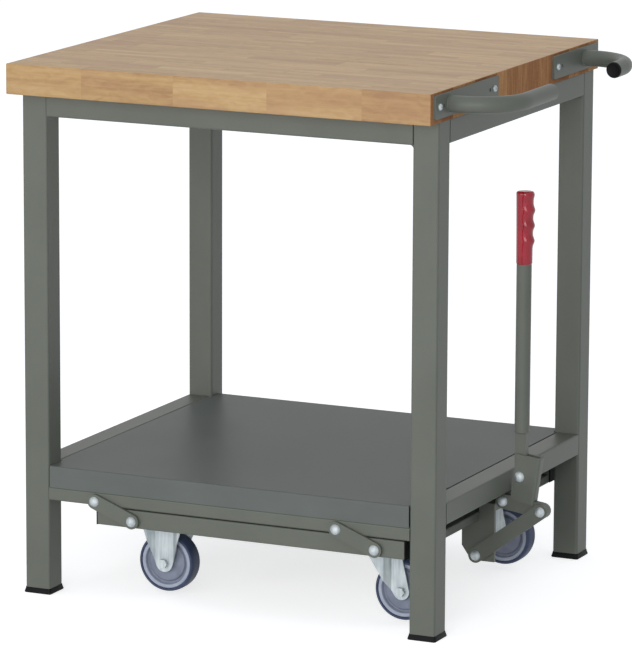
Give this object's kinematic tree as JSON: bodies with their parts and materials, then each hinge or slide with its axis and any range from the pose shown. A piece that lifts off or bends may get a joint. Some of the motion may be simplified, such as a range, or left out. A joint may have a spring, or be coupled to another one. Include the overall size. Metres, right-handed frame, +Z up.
{
  "type": "mobile workbench",
  "caption": "Workbench with a thick wooden top, welded tube frame, folded steel shelf, push handles and a side lever that swings a caster undercarriage down to lift it.",
  "frame": {"origin": "floor level under the centre of the overall box, with the bench standing on its feet", "axes": "+X to the lever and handle side, +Y from the front to the back, +Z up"},
  "size_m": [0.8626, 0.7, 0.89],
  "materials": {
    "beech_worktop": "oiled",
    "frame_paint": "satin powder coat",
    "shelf_paint": "satin powder coat",
    "zinc_plated_steel": "zinc plated",
    "black_plastic": "matte",
    "red_grip": "gloss",
    "tyre_rubber": "matte",
    "rim_plastic": "satin"
  },
  "bodies": {
    "bench": {"worktop": "beech_worktop", "worktop_screws": "zinc_plated_steel", "leg_front_left": "frame_paint", "leg_front_right": "frame_paint", "leg_rear_left": "frame_paint", "leg_rear_right": "frame_paint", "foot_caps": "black_plastic", "upper_rail_front": "frame_paint", "upper_rail_rear": "frame_paint", "upper_rail_left": "frame_paint", "upper_rail_right": "frame_paint", "lower_rail_left": "frame_paint", "lower_rail_right": "frame_paint", "hanger_rail_front": "frame_paint", "hanger_rail_rear": "frame_paint", "shelf_tray": "shelf_paint", "handle_plate_front": "frame_paint", "handle_plate_rear": "frame_paint", "handle_tube_front": "frame_paint", "handle_tube_rear": "frame_paint", "handle_plugs": "black_plastic", "bench_pivot_bolts": "zinc_plated_steel", "lever_ear": "frame_paint"},
    "undercarriage": {"beam_front": "frame_paint", "beam_rear": "frame_paint", "beam_end_plugs": "black_plastic", "cross_channel_left": "frame_paint", "cross_channel_right": "frame_paint", "caster_plate_bolts": "zinc_plated_steel", "fixed_fork_front": "zinc_plated_steel", "fixed_fork_rear": "zinc_plated_steel", "fixed_axles": "zinc_plated_steel", "swivel_plate_front": "zinc_plated_steel", "swivel_plate_rear": "zinc_plated_steel", "beam_pivot_bolts": "zinc_plated_steel", "push_bracket": "frame_paint"},
    "lever": {"crank_arm": "frame_paint", "lever_head": "frame_paint", "lever_bar": "frame_paint", "lever_tube": "frame_paint", "lever_grip": "red_grip", "crank_bolts": "zinc_plated_steel"},
    "push_link": {"push_link": "frame_paint", "toggle_bolt": "zinc_plated_steel"},
    "swing_link_front_left": {"swing_link_front_left": "frame_paint"},
    "swing_link_front_right": {"swing_link_front_right": "frame_paint"},
    "swing_link_rear_left": {"swing_link_rear_left": "frame_paint"},
    "swing_link_rear_right": {"swing_link_rear_right": "frame_paint"},
    "swivel_front": {"swivel_fork_front": "zinc_plated_steel", "swivel_axle_front": "zinc_plated_steel"},
    "wheel_front_left": {"wheel_rim_front_left": "rim_plastic", "wheel_tyre_front_left": "tyre_rubber"},
    "wheel_front_right": {"wheel_rim_front_right": "rim_plastic", "wheel_tyre_front_right": "tyre_rubber"},
    "swivel_rear": {"swivel_fork_rear": "zinc_plated_steel", "swivel_axle_rear": "zinc_plated_steel"},
    "wheel_rear_left": {"wheel_rim_rear_left": "rim_plastic", "wheel_tyre_rear_left": "tyre_rubber"},
    "wheel_rear_right": {"wheel_rim_rear_right": "rim_plastic", "wheel_tyre_rear_right": "tyre_rubber"}
  },
  "joints": [
    {"name": "swing_front_left", "type": "hinge", "parent": "bench", "child": "swing_link_front_left", "pos_m": [-0.29425, -0.3085, 0.1685], "axis": [0, 1, 0], "range_deg": [0, 70]},
    {"name": "swing_front_right", "type": "hinge", "parent": "bench", "child": "swing_link_front_right", "pos_m": [0.14175, -0.3085, 0.1685], "axis": [0, 1, 0], "range_deg": [0, 70]},
    {"name": "swing_rear_left", "type": "hinge", "parent": "bench", "child": "swing_link_rear_left", "pos_m": [-0.29425, 0.3345, 0.1685], "axis": [0, 1, 0], "range_deg": [0, 70]},
    {"name": "swing_rear_right", "type": "hinge", "parent": "bench", "child": "swing_link_rear_right", "pos_m": [0.14175, 0.3345, 0.1685], "axis": [0, 1, 0], "range_deg": [0, 70]},
    {"name": "carriage_level", "type": "hinge", "parent": "swing_link_front_left", "child": "undercarriage", "pos_m": [-0.22635, -0.3085, 0.1417], "axis": [0, 1, 0], "range_deg": [-70, 0]},
    {"name": "lever_turn", "type": "hinge", "parent": "bench", "child": "lever", "pos_m": [0.30145, 0.005, 0.1655], "axis": [0, 1, 0], "range_deg": [0, 75.9]},
    {"name": "push_turn", "type": "hinge", "parent": "lever", "child": "push_link", "pos_m": [0.37025, -0.0045, 0.1554], "axis": [0, 1, 0], "range_deg": [-70.1, 0]},
    {"name": "swivel_front_turn", "type": "hinge", "parent": "undercarriage", "child": "swivel_front", "pos_m": [0.19475, -0.22, 0.127], "axis": [0, 0, 1], "continuous": true},
    {"name": "wheel_front_left_spin", "type": "hinge", "parent": "undercarriage", "child": "wheel_front_left", "pos_m": [-0.20125, -0.22, 0.0595], "axis": [0, 1, 0], "continuous": true},
    {"name": "wheel_front_right_spin", "type": "hinge", "parent": "swivel_front", "child": "wheel_front_right", "pos_m": [0.22675, -0.22, 0.0595], "axis": [0, 1, 0], "continuous": true},
    {"name": "swivel_rear_turn", "type": "hinge", "parent": "undercarriage", "child": "swivel_rear", "pos_m": [0.19475, 0.191, 0.127], "axis": [0, 0, 1], "continuous": true},
    {"name": "wheel_rear_left_spin", "type": "hinge", "parent": "undercarriage", "child": "wheel_rear_left", "pos_m": [-0.20125, 0.191, 0.0595], "axis": [0, 1, 0], "continuous": true},
    {"name": "wheel_rear_right_spin", "type": "hinge", "parent": "swivel_rear", "child": "wheel_rear_right", "pos_m": [0.22675, 0.191, 0.0595], "axis": [0, 1, 0], "continuous": true}
  ],
  "couplings": [
    {"joint": "swing_front_right", "follows": "swing_front_left", "ratio": 1},
    {"joint": "swing_rear_left", "follows": "swing_front_left", "ratio": 1},
    {"joint": "swing_rear_right", "follows": "swing_front_left", "ratio": 1},
    {"joint": "carriage_level", "follows": "swing_front_left", "ratio": -1},
    {"joint": "lever_turn", "follows": "swing_front_left", "ratio": 1.084},
    {"joint": "push_turn", "follows": "swing_front_left", "ratio": -1.0006}
  ]
}
